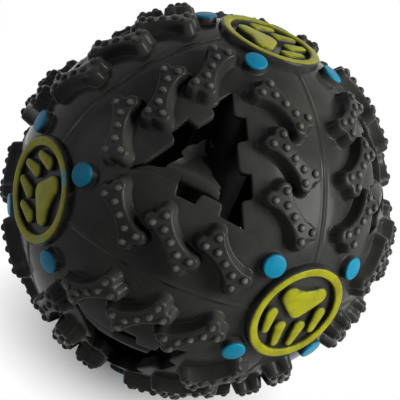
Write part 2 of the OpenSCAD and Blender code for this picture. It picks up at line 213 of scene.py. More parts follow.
def paint_material(name, top, edge, height, spread, by_axis, smears=()):
    """Soft paint on the tops of raised rubber: full colour above a height, thin at the edge, bare rubber below.

    The height is taken along the badge's axis, or from the ball's middle. A smear is a place, a reach and a strength.
    """
    made, tree, shader, place = start_material(name)
    bare, rough, grain = rubber_look(tree, place, RUBBER_DARK, RUBBER_LIGHT)
    if by_axis:
        split = add(tree, "ShaderNodeSeparateXYZ", {"Vector": place}).outputs
        x, y, z = (add(tree, "ShaderNodeMath", {0: side}, operation="ABSOLUTE").outputs[0] for side in split)
        far = add(tree, "ShaderNodeMath", {0: x, 1: y}, operation="MAXIMUM").outputs[0]
        far = add(tree, "ShaderNodeMath", {0: far, 1: z}, operation="MAXIMUM").outputs[0]
    else:
        far = add(tree, "ShaderNodeVectorMath", {0: place}, operation="LENGTH").outputs["Value"]
    # The paint's edge wanders by a tenth of a millimetre up and down the side
    wander = add(tree, "ShaderNodeTexNoise", {"Vector": place, "Scale": per_mm(1.6), "Detail": 3.0}).outputs["Fac"]
    wander = add(tree, "ShaderNodeMapRange", {0: wander, 1: 0.3, 2: 0.7, 3: -0.12 * MM, 4: 0.12 * MM}).outputs["Result"]
    level = add(tree, "ShaderNodeMath", {0: far, 1: wander}, operation="ADD").outputs[0]
    cover = add(tree, "ShaderNodeMapRange", {0: level, 1: (height - spread) * MM, 2: height * MM}).outputs["Result"]
    full = add(tree, "ShaderNodeMapRange", {0: level, 1: height * MM, 2: (height + spread) * MM}).outputs["Result"]
    patchy = add(tree, "ShaderNodeTexNoise", {"Vector": place, "Scale": per_mm(3.5), "Detail": 4.0}).outputs["Fac"]
    patchy = add(tree, "ShaderNodeMapRange", {0: patchy, 1: 0.35, 2: 0.7, 4: 0.45}).outputs["Result"]
    paint = add(tree, "ShaderNodeMix", {0: patchy, 6: srgb(top), 7: srgb(edge)}, data_type="RGBA").outputs[2]
    paint = add(tree, "ShaderNodeMix", {0: full, 6: srgb(edge), 7: paint}, data_type="RGBA").outputs[2]
    for at, reach, strength in smears:
        near = add(tree, "ShaderNodeVectorMath", {0: place, 1: Vector(at) * MM}, operation="DISTANCE").outputs["Value"]
        near = add(tree, "ShaderNodeMath", {0: near, 1: wander}, operation="ADD").outputs[0]
        touch = add(tree, "ShaderNodeMapRange", {
            0: near, 1: reach * MM, 2: 0.5 * reach * MM, 4: strength}).outputs["Result"]
        paint = add(tree, "ShaderNodeMix", {0: touch, 6: paint, 7: srgb(SMEAR)}, data_type="RGBA").outputs[2]
    colour = add(tree, "ShaderNodeMix", {0: cover, 6: bare, 7: paint}, data_type="RGBA").outputs[2]
    tree.links.new(colour, shader.inputs["Base Color"])
    brushed = add(tree, "ShaderNodeTexNoise", {"Vector": place, "Scale": per_mm(2.5), "Detail": 3.0}).outputs["Fac"]
    brushed = add(tree, "ShaderNodeMapRange", {0: brushed, 1: 0.3, 2: 0.7, 3: 0.34, 4: 0.46}).outputs["Result"]
    tree.links.new(brushed, shader.inputs["Roughness"])
    shader.inputs["Specular IOR Level"].default_value = PAINT_GLOSS
    bump = add(tree, "ShaderNodeBump", {"Height": grain, "Strength": 0.35, "Distance": GRAIN_DEPTH})
    tree.links.new(bump.outputs["Normal"], shader.inputs["Normal"])
    return made


def plain_material(name, dark, light, rough_low, rough_high, period, metallic=0.0, grain_mm=0.3, depth=0.006):
    """A moulded or metal part with slight mottling and a fine surface."""
    made, tree, shader, place = start_material(name)
    cloud = add(tree, "ShaderNodeTexNoise", {"Vector": place, "Scale": per_mm(period), "Detail": 3.0}).outputs["Fac"]
    tone = add(tree, "ShaderNodeMapRange", {0: cloud, 1: 0.3, 2: 0.7}).outputs["Result"]
    colour = add(tree, "ShaderNodeMix", {0: tone, 6: srgb(dark), 7: srgb(light)}, data_type="RGBA").outputs[2]
    tree.links.new(colour, shader.inputs["Base Color"])
    patch = add(tree, "ShaderNodeTexNoise", {
        "Vector": place, "Scale": per_mm(period / 2), "Detail": 3.0}).outputs["Fac"]
    rough = add(tree, "ShaderNodeMapRange", {0: patch, 1: 0.3, 2: 0.7, 3: rough_low, 4: rough_high}).outputs["Result"]
    tree.links.new(rough, shader.inputs["Roughness"])
    shader.inputs["Metallic"].default_value = metallic
    grain = add(tree, "ShaderNodeTexNoise", {"Vector": place, "Scale": per_mm(grain_mm), "Detail": 3.0}).outputs["Fac"]
    bump = add(tree, "ShaderNodeBump", {"Height": grain, "Strength": 0.4, "Distance": depth * MM})
    tree.links.new(bump.outputs["Normal"], shader.inputs["Normal"])
    return made


RUBBER = skin_material()
# To the eye: a flat strong yellow on the raised tops that thins to olive at their edges, touched by blue in two places
YELLOW = paint_material(
    "yellow_paint_on_rubber", "#8b8b0c", "#4c4d0e", BADGE_Z - 0.34, 0.3, True,
    smears=[((-BADGE_Z, -7.0, 7.5), 2.4, 0.8), ((-BADGE_Z, -8.0, -8.0), 1.4, 0.4)])
# To the eye: a flat turquoise cap on each stud, darker and patchy at its rim
BLUE = paint_material("blue_paint_on_rubber", "#057393", "#05566f", SKIN_R + STUD_H - 0.35, 0.25, False)
# To the eye: smooth near-black moulded plastic, a shade glossier than the rubber
TUBE = plain_material("tube_moulded_black_plastic", "#141416", "#1b1b1d", 0.35, 0.45, 6.0)
# To the eye: the same plastic a little lighter and duller, so that the caps part from the tube
CAP = plain_material("cap_moulded_black_plastic", "#17171a", "#202022", 0.4, 0.5, 5.0)
# To the eye: matt and finely pitted, as soft foamed rubber is
FOAM = plain_material("bumper_foamed_rubber", "#1b1b1d", "#29292b", 0.75, 0.85, 1.5, 0.0, 0.25, 0.05)
# To the eye: smooth orange moulding, the one bright part inside
CARRIER = plain_material("carrier_moulded_orange_plastic", "#b84a1e", "#c8562a", 0.35, 0.45, 4.0)
# To the eye: grey turned steel with a soft shine
STEEL = plain_material("weight_turned_steel", "#8d8d90", "#a6a6a8", 0.25, 0.4, 1.0, 1.0)
# To the eye: a thin strip of warm rolled brass
BRASS = plain_material("reed_rolled_brass", "#b58a3c", "#c69c4a", 0.25, 0.38, 2.0, 1.0)


# ---------------------------------------------------------------- mesh helpers
def sphere_map(co):
    """From plan coordinates (across, along, radius) on the positive eighth's face to its place."""
    return U * co.x + V * co.y + F * math.sqrt(co.z ** 2 - co.x ** 2 - co.y ** 2)


def plan_of(p):
    """Plan coordinates of a point, the other way round."""
    return Vector((p.dot(U), p.dot(V), p.length))


def by_side(out, along):
    """Plan point beside one long side of the window: how far out from the middle, and how far along."""
    return (out * COS60 + along * SIN60, out * SIN60 - along * COS60)


def flipped(points):
    """The points mirrored across the X axis, in reversed order."""
    return [(x, -y) for x, y in reversed(points)]


def upright(points):
    """The same outline, counterclockwise."""
    area = sum(a[0] * b[1] - b[0] * a[1] for a, b in zip(points, points[1:] + points[:1]))
    return points if area > 0 else points[::-1]


def grown(points, by):
    """Counterclockwise outline with each side moved outwards."""
    made = []
    for i, p in enumerate(points):
        a, b, c = Vector(points[i - 1]), Vector(p), Vector(points[(i + 1) % len(points)])
        n1 = Vector(((b - a).y, -(b - a).x)).normalized()
        n2 = Vector(((c - b).y, -(c - b).x)).normalized()
        made.append(tuple(b + (n1 + n2) * (by / (1 + n1.dot(n2)))))
    return made


def arc(x, y, r, start, end, steps):
    """Points on an arc between two angles."""
    return [(x + r * math.cos(math.radians(start + (end - start) * i / steps)),
             y + r * math.sin(math.radians(start + (end - start) * i / steps))) for i in range(steps + 1)]


def ngon(bm, points, height):
    """One flat face with this outline."""
    face = bm.faces.new([bm.verts.new((x, y, height)) for x, y in points])
    face.normal_update()
    return face


def round_corners(bm, face, radius, segments=3, least=12.0):
    """Rounds the outline's real corners. Sides too short for the radius keep their ends."""
    picked = []
    for loop in face.loops:
        before, after = loop.link_loop_prev.edge, loop.edge
        a = (loop.vert.co - loop.link_loop_prev.vert.co).normalized()
        b = (loop.link_loop_next.vert.co - loop.vert.co).normalized()
        if a.angle(b) > math.radians(least) and min(before.calc_length(), after.calc_length()) > 2.1 * radius:
            picked.append(loop.vert)
    bmesh.ops.bevel(bm, geom=picked, offset=radius, offset_type="OFFSET", segments=segments, profile=0.5,
                    affect="VERTICES", clamp_overlap=False, material=-1)
    return next(iter(bm.faces))


def split_long(bm, edges, longest):
    """Splits long edges, so that a side can follow the ball's curve."""
    for edge in list(edges):
        cuts = int(edge.calc_length() / longest)
        if cuts:
            bmesh.ops.subdivide_edges(bm, edges=[edge], cuts=cuts)


def steps_in(bm, face, profile):
    """Insets a face again and again: each step is how far in and how far along the normal."""
    for thickness, depth in profile:
        bmesh.ops.inset_region(bm, faces=[face], thickness=thickness, depth=depth,
                               use_even_offset=True, use_boundary=True)


def parts_of(faces):
    """The faces with their edges and vertices, as the cutting operators want them."""
    verts = {v for f in faces for v in f.verts}
    edges = {e for f in faces for e in f.edges}
    return list(faces) + list(edges) + list(verts)


def cut_grid(bm, picked, step, reach, axes=((1, 0, 0), (0, 1, 0))):
    """Cuts the faces that picked() chooses with evenly spaced planes, so that they can bend."""
    count = int(reach / step)
    for axis in axes:
        for i in range(-count, count + 1):
            faces = [f for f in bm.faces if picked(f)]
            bmesh.ops.bisect_plane(bm, geom=parts_of(faces), dist=1e-4,
                                   plane_co=Vector(axis) * (i * step), plane_no=axis)


def join(bm, part):
    """Moves a part's faces into another mesh."""
    scrap = bpy.data.meshes.new("scrap")
    part.to_mesh(scrap)
    part.free()
    bm.from_mesh(scrap)
    bpy.data.meshes.remove(scrap)


def turned(profile, steps=72):
    """Closed profile of (radius, height) points turned round Z."""
    bm = bmesh.new()
    verts = [bm.verts.new((r, 0, z)) for r, z in profile]
    edges = [bm.edges.new(pair) for pair in zip(verts, verts[1:] + verts[:1])]
    bmesh.ops.spin(bm, geom=verts + edges, cent=(0, 0, 0), axis=(0, 0, 1), angle=2 * math.pi,
                   steps=steps, use_merge=True)
    bmesh.ops.remove_doubles(bm, verts=bm.verts, dist=1e-4)
    return bm


def piece(name, bm, material, body, replaced=(), sharp=35.0, matrix=Matrix.Identity(4)):
    """Makes an object of a mesh in mm, places it, ties it to its body, and hides the parts it stands for."""
    bmesh.ops.transform(bm, matrix=Matrix.Scale(MM, 4) @ matrix, verts=bm.verts)
    bmesh.ops.recalc_face_normals(bm, faces=bm.faces)
    for face in bm.faces:
        face.smooth = True
    for edge in bm.edges:
        edge.smooth = edge.calc_face_angle(0) < math.radians(sharp)
    mesh = bpy.data.meshes.new(name)
    bm.to_mesh(mesh)
    bm.free()
    mesh.materials.append(material)
    made = bpy.data.objects.new(name, mesh)
    bpy.context.collection.objects.link(made)
    if body:
        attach(made, body)
    if replaced:
        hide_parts(*replaced)
    return made


def mirrored(signs):
    """Matrix that mirrors the positive eighth onto another."""
    return Matrix.Diagonal((*signs, 1))


def frame_matrix(x, z):
    """Matrix that stands a shape with its Z along z and its X along x."""
    x, z = Vector(x), Vector(z)
    return Matrix((x, z.cross(x), z)).transposed().to_4x4()


# ---------------------------------------------------------------- the window and flap outlines
WINDOW_HALF = [
    (-TOOTH_OUT, BACK_NOTCH_FROM),
    (-NOTCH_OUT, BACK_NOTCH_FROM + NOTCH_DRAW),
    (-NOTCH_OUT, BACK_NOTCH_FROM + BACK_NOTCH_W - NOTCH_DRAW),
    (-TOOTH_OUT, BACK_NOTCH_FROM + BACK_NOTCH_W),
    (-TOOTH_OUT, (NOTCH_OUT + TOOTH_OUT * COS60) / SIN60),
    by_side(NOTCH_OUT, -CORNER_BACK - NOTCH_DRAW),
    by_side(TOOTH_OUT, -CORNER_BACK),
    by_side(TOOTH_OUT, -NOTCH_BACK),
    by_side(NOTCH_OUT, NOTCH_DRAW - NOTCH_BACK),
    by_side(NOTCH_OUT, NOTCH_W - NOTCH_BACK - NOTCH_DRAW),
    by_side(TOOTH_OUT, NOTCH_W - NOTCH_BACK),
    ((TOOTH_OUT - SIN60 * SLIT_W / 2) / COS60, SLIT_W / 2),
    (TIP_OUT, SLIT_W / 4),
]
WINDOW = upright(WINDOW_HALF + flipped(WINDOW_HALF))

ROLL_OUT = TOOTH_OUT - HINGE_GAP - SKIN_WALL / 2
# The soft flap's outline: its short side in plan, its free long side out and along
SHORT_SIDE = [
    (-2.4, 6.6), (-1.9, 4.9), (-1.7, 2.3), (-2.0, -0.6), (-2.6, -3.6), (-3.5, -6.6), (-4.9, -9.8), (-6.0, -12.3)]
LONG_SIDE = [
    (3.2, 3.1), (4.7, 2.7), (5.4, 1.1), (5.6, -0.6), (5.2, -2.3), (5.9, -4.0), (6.1, -7.2), (7.3, -8.2), (7.3, -9.5),
    (8.0, -11.5)]
# How far its root reaches along the hinge each way, and how much the roll's far end slants
ROOT_FORE, ROOT_AFT, ROLL_SLANT = 6.6, 5.6, 0.7


def flap_outline():
    """Outline of the flap: hinged side, hollowed short side, blunt far corner, stepped long side."""
    root = [by_side(ROLL_OUT, ROOT_FORE), by_side(ROLL_OUT, -ROOT_AFT)]
    return upright(root + SHORT_SIDE + flipped([by_side(*p) for p in LONG_SIDE]))


hinge = next(j for j in frame["joints"] if j["name"] == "flap_hinge_back_right_upper")
HINGE_AT = Vector(hinge["pos_m"]) / MM
HINGE_AXIS = Vector(hinge["axis"]).normalized()


def tilt_by(angle):
    """Turn about the positive eighth's hinge line."""
    turn = Matrix.Rotation(math.radians(angle), 4, HINGE_AXIS)
    return Matrix.Translation(HINGE_AT) @ turn @ Matrix.Translation(-HINGE_AT)


# ---------------------------------------------------------------- the skin, one eighth at a time
ARC_STEPS, CREASE_STEPS = 15, 40
# The crease bead's height and spread, and the depth, place and spread of the slight groove on each side
BEAD_H, BEAD_W = 0.2, 0.36
GROOVE_DEPTH, GROOVE_AT, GROOVE_W = 0.05, 0.85, 0.22
# The skin is cut this far from the crease, so that it can take that shape
BEAD_CUTS = (0.12, 0.25, 0.4, 0.55, 0.7, 0.85, 1.0, 1.2)
# Rounding of the window's edge and of its corners in plan, and the mesh steps along and inside it
FILLET, WINDOW_CORNER_R = 0.35, 0.55
WINDOW_STEP, SKIN_STEP, SKIN_REACH = 1.1, 2.0, 42.0


def eighth_ring(badge_r, r):
    """Outline of the positive eighth at a radius: an arc round each badge, joined along the three creases."""
    points = []
    rise = math.sqrt(r * r - badge_r * badge_r)
    open_angle = math.asin(badge_r / r)
    for badge, before, after in ((0, 1, 2), (2, 0, 1), (1, 2, 0)):
        for i in range(ARC_STEPS + 1):
            t = math.radians(90 * i / ARC_STEPS)
            p = Vector((0, 0, 0))
            p[badge], p[before], p[after] = rise, badge_r * math.cos(t), badge_r * math.sin(t)
            points.append(plan_of(p))
        for i in range(1, CREASE_STEPS):
            t = open_angle + (math.pi / 2 - 2 * open_angle) * i / CREASE_STEPS
            p = Vector((0, 0, 0))
            p[badge], p[after] = r * math.cos(t), r * math.sin(t)
            points.append(plan_of(p))
    return points


def ridge(d):
    """Height of the crease line beside its plane: a thin raised bead with a slight groove on each side."""
    return BEAD_H * math.exp(-(d / BEAD_W) ** 2) - GROOVE_DEPTH * math.exp(-((d - GROOVE_AT) / GROOVE_W) ** 2)


def loop_of(bm, points):
    """Closed loop of edges through these points."""
    verts = [bm.verts.new(p) for p in points]
    return [bm.edges.new(pair) for pair in zip(verts, verts[1:] + verts[:1])]


def outer_faces(bm):
    """The faces on the ball's outside."""
    return [f for f in bm.faces if min(v.co.length for v in f.verts) > SKIN_R - 0.02]


def skin_eighth():
    """The positive eighth of the skin with its toothed window, in plan first, then wrapped on the ball."""
    bm = bmesh.new()
    face = ngon(bm, grown(WINDOW, FILLET), SKIN_R)
    face = round_corners(bm, face, WINDOW_CORNER_R)
    split_long(bm, face.edges, WINDOW_STEP)
    x, y = 0.0, 0.0
    for angle in (30, 60, 90):
        nx, ny = FILLET * math.sin(math.radians(angle)), FILLET * (1 - math.cos(math.radians(angle)))
        steps_in(bm, face, [(nx - x, y - ny)])
        x, y = nx, ny
    top_edges = [e for e in bm.edges if e.is_boundary]
    edges = list(face.edges)
    bmesh.ops.delete(bm, geom=[face], context="FACES_ONLY")
    low = bmesh.ops.extrude_edge_only(bm, edges=edges)["geom"]
    for v in low:
        if isinstance(v, bmesh.types.BMVert):
            v.co.z = INNER_R
    low_edges = [e for e in low if isinstance(e, bmesh.types.BMEdge)]
    seat_r = math.hypot(BADGE_R, SEAT_Z)
    plug_seat_r = math.hypot(PLUG_R, SEAT_Z)
    rings = [loop_of(bm, eighth_ring(b, r)) for b, r in (
        (BADGE_R, SKIN_R), (BADGE_R, seat_r), (PLUG_R, plug_seat_r), (PLUG_R, INNER_R))]
    bmesh.ops.triangle_fill(bm, use_beauty=True, use_dissolve=False, edges=top_edges + rings[0], normal=(0, 0, 1))
    bmesh.ops.triangle_fill(bm, use_beauty=True, use_dissolve=False, edges=low_edges + rings[3], normal=(0, 0, 1))
    for a, b in zip(rings, rings[1:]):
        bmesh.ops.bridge_loops(bm, edges=a + b)

    def on_plate(f):
        """True for a face of the flat outside or inside."""
        heights = [v.co.z for v in f.verts]
        return max(heights) - min(heights) < 1e-4 and (heights[0] > SKIN_R - 1e-3 or heights[0] < INNER_R + 1e-3)

    cut_grid(bm, on_plate, SKIN_STEP, SKIN_REACH)
    for v in bm.verts:
        v.co = sphere_map(v.co)
    for d in BEAD_CUTS:
        for axis in range(3):
            normal = [0, 0, 0]
            normal[axis] = 1
            bmesh.ops.bisect_plane(bm, geom=parts_of(outer_faces(bm)), dist=1e-3,
                                   plane_co=[d * c for c in normal], plane_no=normal)
    for v in {v for f in outer_faces(bm) for v in f.verts}:
        v.co *= (SKIN_R + ridge(max(0, min(v.co)))) / v.co.length
    return bm


# ---------------------------------------------------------------- flaps
# The face is a shallow dish: it sinks from the root, and rises again to the free long side in a sloping rim.
# The rim's inner and outer lines, each point how far out and how far along
RIM_IN = [(2.3, 9.5), (2.3, 5.6), (3.0, 1.3), (3.6, -2.0), (4.3, -5.0), (4.9, -8.0), (5.6, -10.5), (6.0, -12.5)]
RIM_OUT = [
    (3.2, 9.5), (3.2, 3.1), (4.7, 2.7), (5.5, 1.1), (5.3, -2.3), (6.0, -4.0), (6.1, -7.2), (7.3, -8.2), (8.0, -12.0)]
DISH_DEPTH, DISH_START, DISH_RUN = 1.9, 0.3, 5.0
# Rounding of the flap's corners in plan and of its free edges, and the mesh steps along and across it
FLAP_CORNER_R, FLAP_EDGE_R = 0.35, 0.2
FLAP_EDGE_STEP, FLAP_STEP, FLAP_REACH = 1.0, 0.9, 16.0
# The web: where it starts along the root, how far from the slit's middle line it ends, its reach on the skin and
# on the flap, and its thickness
WEB_FROM, LIP_Y = 2.95, 0.2
WEB_ON_SKIN, WEB_ON_FLAP, WEB_T = 2.3, 2.4, 1.0
# The line of its end on the flap's free side, and where that line goes over into the lip's
WEB_FREE_SLOPE, WEB_FREE_AT = 0.577, 3.65
WEB_LIP_FROM, WEB_LIP_RUN = 5.0, 0.9
# It starts this deep under the skin, rises this much, and does so over this run at both ends
WEB_SINK, WEB_RISE, WEB_TAPER = 0.12, 0.15, 0.7
WEB_STEPS_ACROSS, WEB_STEPS_ALONG = 26, 12


def out_at(line, along):
    """How far out a line of points is, at a place along it."""
    for (out_a, a), (out_b, b) in zip(line, line[1:]):
        if along >= b:
            return out_a + (out_b - out_a) * min(1.0, max(0.0, (a - along) / (a - b)))
    return line[-1][0]


def free_along(co):
    """How far along the free long side a plan point is."""
    return co.x * SIN60 + co.y * COS60


def hinge_out(co):
    """How far out a plan point is towards the hinged side."""
    return co.x * COS60 + co.y * SIN60


def dish(co):
    """Depth of the flap's face at a plan point."""
    out, along = co.x * COS60 - co.y * SIN60, free_along(co)
    inner = out_at(RIM_IN, along)
    rise = min(1.0, max(0.0, (out - inner) / (out_at(RIM_OUT, along) - inner)))
    from_root = ROLL_OUT - hinge_out(co)
    sink = min(1.0, max(0.0, (from_root - DISH_START) / DISH_RUN))
    return DISH_DEPTH * (1.0 - rise) * sink * sink * (3 - 2 * sink)


def rolled_edge():
    """The round rod along the flap's hinged side, mapped on the ball, with a slant at its far end."""
    radius = SKIN_WALL / 2
    ends = [(0.001, 0.0), (radius - 0.4, 0.0), (radius - 0.12, 0.12), (radius, 0.4)]
    length = ROLL_FORE + ROLL_AFT
    middle = [(radius, length * i / 12) for i in range(2, 11)]
    roll = turned(ends + middle + [(r, length - z) for r, z in reversed(ends)], 28)
    for v in roll.verts:
        slant = ROLL_SLANT * (radius - v.co.x) * max(0.0, 1 - v.co.z / 5)
        x, y = by_side(ROLL_OUT + v.co.x, v.co.z + slant - ROLL_AFT)
        v.co = sphere_map(Vector((x, y, MID_R + v.co.y)))
    return roll


def flap_plate():
    """A flap with rounded free edges and a dished face, wrapped on the ball, with its rolled edge, tilted inwards."""
    bm = bmesh.new()
    face = ngon(bm, flap_outline(), INNER_R)
    face = round_corners(bm, face, FLAP_CORNER_R)
    split_long(bm, face.edges, FLAP_EDGE_STEP)
    made = bmesh.ops.extrude_face_region(bm, geom=[face])["geom"]
    for v in made:
        if isinstance(v, bmesh.types.BMVert):
            v.co.z = SKIN_R
    rims = [e for e in bm.edges if abs(e.verts[0].co.z - e.verts[1].co.z) < 1e-4
            and any(hinge_out(v.co) < ROLL_OUT - 0.05 for v in e.verts)]
    bmesh.ops.bevel(bm, geom=rims, offset=FLAP_EDGE_R, offset_type="OFFSET", segments=2, profile=0.5,
                    affect="EDGES", clamp_overlap=True, material=-1)
    for line in zip(RIM_IN, RIM_IN[1:]):
        (x0, y0), (x1, y1) = (by_side(*p) for p in line)
        picked = [f for f in bm.faces if line[1][1] - 1 < free_along(f.calc_center_median()) < line[0][1] + 1]
        bmesh.ops.bisect_plane(bm, geom=parts_of(picked), dist=1e-4,
                               plane_co=(x0, -y0, 0), plane_no=(y0 - y1, x0 - x1, 0))
    cut_grid(bm, lambda f: True, FLAP_STEP, FLAP_REACH)
    for v in bm.verts:
        if v.co.z > MID_R:
            v.co.z -= dish(v.co)
    for v in bm.verts:
        v.co = sphere_map(v.co)
    join(bm, rolled_edge())
    bmesh.ops.transform(bm, matrix=tilt_by(FLAP_TILT), verts=bm.verts)
    return bm


def web_front(out):
    """Where the web ends towards the window's tip: at the slit's lip on the skin, at the free side on the flap."""
    lip, free = (out * SIN60 - LIP_Y) / COS60, WEB_FREE_SLOPE * out + WEB_FREE_AT
    on_skin = min(1.0, max(0.0, (out - WEB_LIP_FROM) / WEB_LIP_RUN))
    return min(lip, free + (lip - free) * on_skin)


def flap_web():
    """The skin as it bends into the root of the flap, over the rolled edge."""
    bm = bmesh.new()
    bmesh.ops.create_grid(bm, x_segments=WEB_STEPS_ACROSS, y_segments=WEB_STEPS_ALONG, size=0.5)
    for v in bm.verts:
        way = (v.co.x + 0.5) * (WEB_ON_SKIN + WEB_ON_FLAP) - WEB_ON_SKIN
        turn = min(math.radians(FLAP_TILT), max(0.0, way / (SKIN_WALL / 2)))
        out = ROLL_OUT - way + turn * SKIN_WALL / 2
        along = WEB_FROM + (v.co.y + 0.5) * (web_front(out) - WEB_FROM)
        ends = min(1.0, (way + WEB_ON_SKIN) / WEB_TAPER, (WEB_ON_FLAP - way) / WEB_TAPER)
        x, y = by_side(out, along)
        sunk = dish(Vector((x, y))) if way > 0 else 0
        flat = Vector((x, y, SKIN_R - WEB_SINK + WEB_RISE * ends - sunk))
        v.co = tilt_by(math.degrees(turn)) @ sphere_map(flat)
    bmesh.ops.recalc_face_normals(bm, faces=bm.faces)
    if sum((f.normal.dot(F) for f in bm.faces), 0.0) < 0:
        bmesh.ops.reverse_faces(bm, faces=bm.faces)
    bmesh.ops.solidify(bm, geom=parts_of(bm.faces), thickness=WEB_T)
    return bm


# ---------------------------------------------------------------- bones
# Each step is how far in and how far up: out of the skin, base fillet, draft, rounded shoulder
BONE_PROFILE = [
    (0.02, 0.5), (0.2, 0.08), (0.12, 0.22), (0.2, 1.0), (0.2, 1.0), (0.1, 0.34), (0.16, 0.22), (0.2, 0.09)]
# How far past the bone's outline its foot reaches and how deep it stands in the skin, and its top's mesh steps
BONE_FOOT, BONE_SUNK = 0.55, 0.5
BONE_STEP, BONE_REACH = 1.3, 8.0
# The moulded nubs are flatter domes than the solids' small balls
NUB_DOME_R = 0.98
# Each row of an eighth: the axis square to its crease, the axis it runs towards, the one it starts at, and its
# angle off the crease
BONE_ROWS = ((0, 1, 2, 12.0), (1, 2, 0, 14.0), (2, 1, 0, 12.0))


def bone_outline():
    """Outline of a bone: a hollowed waist and two round knuckles at each end."""
    reach = BONE_LEN / 2 - KNUCKLE_R
    knuckle_y = BONE_END_W / 2 - KNUCKLE_R
    rise = (BONE_END_W - BONE_WAIST_W) / 2
    waist_r = (reach * reach + rise * rise) / (2 * rise)
    quarter = [(x, BONE_WAIST_W / 2 + waist_r - math.sqrt(waist_r ** 2 - x * x)) for x in (0, 0.9, 1.8, 2.7, 3.5)]
    quarter += arc(reach, knuckle_y, KNUCKLE_R, 140, -46, 13)
    right = quarter + flipped(quarter)[:-1]
    left = [(-x, -y) for x, y in right]
    return upright(right + left)


def one_bone():
    """A bone in plan: across its length, its width and the radius."""
    bm = bmesh.new()
    face = ngon(bm, grown(bone_outline(), BONE_FOOT), SKIN_R - BONE_SUNK)
    steps_in(bm, face, BONE_PROFILE)
    top = face.verts[0].co.z
    cut_grid(bm, lambda f: min(v.co.z for v in f.verts) > top - 1e-4, BONE_STEP, BONE_REACH)
    along_waist = [(i * NUB_STEP, 0) for i in (-1, 0, 1)]
    on_knuckles = [(i * NUB_END, j * NUB_SIDE) for i in (-1, 1) for j in (-1, 1)]
    for x, y in along_waist + on_knuckles:
        made = bmesh.ops.create_uvsphere(bm, u_segments=16, v_segments=10, radius=NUB_DOME_R)["verts"]
        bmesh.ops.translate(bm, vec=(x, y, top + NUB_R - NUB_DOME_R), verts=made)
    for v in bm.verts:
        v.co.z = math.sqrt(v.co.z ** 2 - v.co.x ** 2 - v.co.y ** 2)
    return bm


def row_matrix(plane, towards, start, lift, along):
    """Place of a bone in a row beside a crease, at an angle along it."""
    axes = [Vector((1, 0, 0)), Vector((0, 1, 0)), Vector((0, 0, 1))]
    ca, sa = math.cos(math.radians(along)), math.sin(math.radians(along))
    cl, sl = math.cos(math.radians(lift)), math.sin(math.radians(lift))
    ct, st = math.cos(math.radians(BONE_TURN)), math.sin(math.radians(BONE_TURN))
    outward = axes[start] * ca + axes[towards] * sa
    place = outward * cl + axes[plane] * sl
    forward = axes[towards] * ca - axes[start] * sa
    down = outward * sl - axes[plane] * cl
    return frame_matrix(forward * ct + down * st, place)


def bones_eighth():
    """The nine bones of the positive eighth, three beside each crease."""
    bm = bmesh.new()
    for plane, towards, start, lift in BONE_ROWS:
        for i in (-1, 0, 1):
            bone = one_bone()
            stand = row_matrix(plane, towards, start, lift, ROW_MIDDLE + i * ROW_STEP)
            bmesh.ops.transform(bone, matrix=stand, verts=bone.verts)
            join(bm, bone)
    return bm


# ---------------------------------------------------------------- badges, paws, studs and sockets
# Each step is how far in and how far up, from a foot inside the badge's floor or the skin to a domed top
PAD_PROFILE = [(0.02, FLOOR_DEPTH - 0.45), (0.09, 0.22), (0.14, 0.14), (0.28, 0.11), (0.4, 0.08)]
STUD_PROFILE = [(0.02, 0.5), (0.16, 0.08), (0.1, 0.16), (0.02, 1.3), (0.08, 0.2), (0.14, 0.13), (0.2, 0.06)]
# How deep the pads stand in the floor and the studs in the skin, and how far a stud's foot reaches past it
PAD_SUNK, STUD_SUNK, STUD_FOOT = 0.1, 0.6, 0.3
ROUND_STEPS = 96


def badge_disc():
    """A badge: a rubber disc with a plug behind, a rounded rim and a recessed floor."""
    rim = BADGE_R - RIM_W
    return turned([
        (0.001, PLUG_Z), (PLUG_R - 0.2, PLUG_Z), (PLUG_R, PLUG_Z + 0.2), (PLUG_R, SEAT_Z), (BADGE_R - 0.02, SEAT_Z),
        (BADGE_R, SEAT_Z + 0.1), (BADGE_R, BADGE_Z - 0.75), (BADGE_R - 0.06, BADGE_Z - 0.45),
        (BADGE_R - 0.2, BADGE_Z - 0.26), (rim, BADGE_Z - 0.2), (rim - 0.2, BADGE_Z - 0.4), (rim - 0.2, FLOOR_Z),
        (0.001, FLOOR_Z)], ROUND_STEPS)


def paw_mesh():
    """The raised ring and the five pads, with rounded edges."""
    outer, inner = BADGE_R - RIM_W, BADGE_R - RIM_W - RING_W
    bm = turned([
        (inner, FLOOR_Z - PAD_SUNK), (inner, BADGE_Z - 0.42), (inner + 0.09, BADGE_Z - 0.2),
        (inner + 0.25, BADGE_Z - 0.06), (inner + 0.45, BADGE_Z), (outer - 0.35, BADGE_Z),
        (outer - 0.14, BADGE_Z - 0.06), (outer, BADGE_Z - 0.2), (outer, FLOOR_Z - PAD_SUNK)], ROUND_STEPS)
    toe = arc(-1.85, 0, 1.65, 97, 263, 12) + arc(2.4, 0, 1.1, -83, 83, 9)
    lobe = arc(-4.4, 3.9, 2.3, 43.6, 214, 13)
    main = arc(-1.1, 0, 2.6, -43.6, 43.6, 8) + lobe + [(-6.0, 1.35), (-5.85, 0), (-6.0, -1.35)] + flipped(lobe)
    # Each pad's outline, its place and how much it leans
    pads = [(main, 0, 0, 0)]
    for s in (-1, 1):
        pads += [(toe, 5.6, s * 2.5, -s * 8), (toe, 2.0, s * 6.7, -s * 4)]
    for outline, x, y, lean in pads:
        pad = bmesh.new()
        face = ngon(pad, upright(outline), FLOOR_Z - PAD_SUNK)
        steps_in(pad, face, PAD_PROFILE)
        stand = Matrix.Translation((x, y, 0)) @ Matrix.Rotation(math.radians(lean), 4, "Z")
        bmesh.ops.transform(pad, matrix=stand, verts=pad.verts)
        join(bm, pad)
    return bm


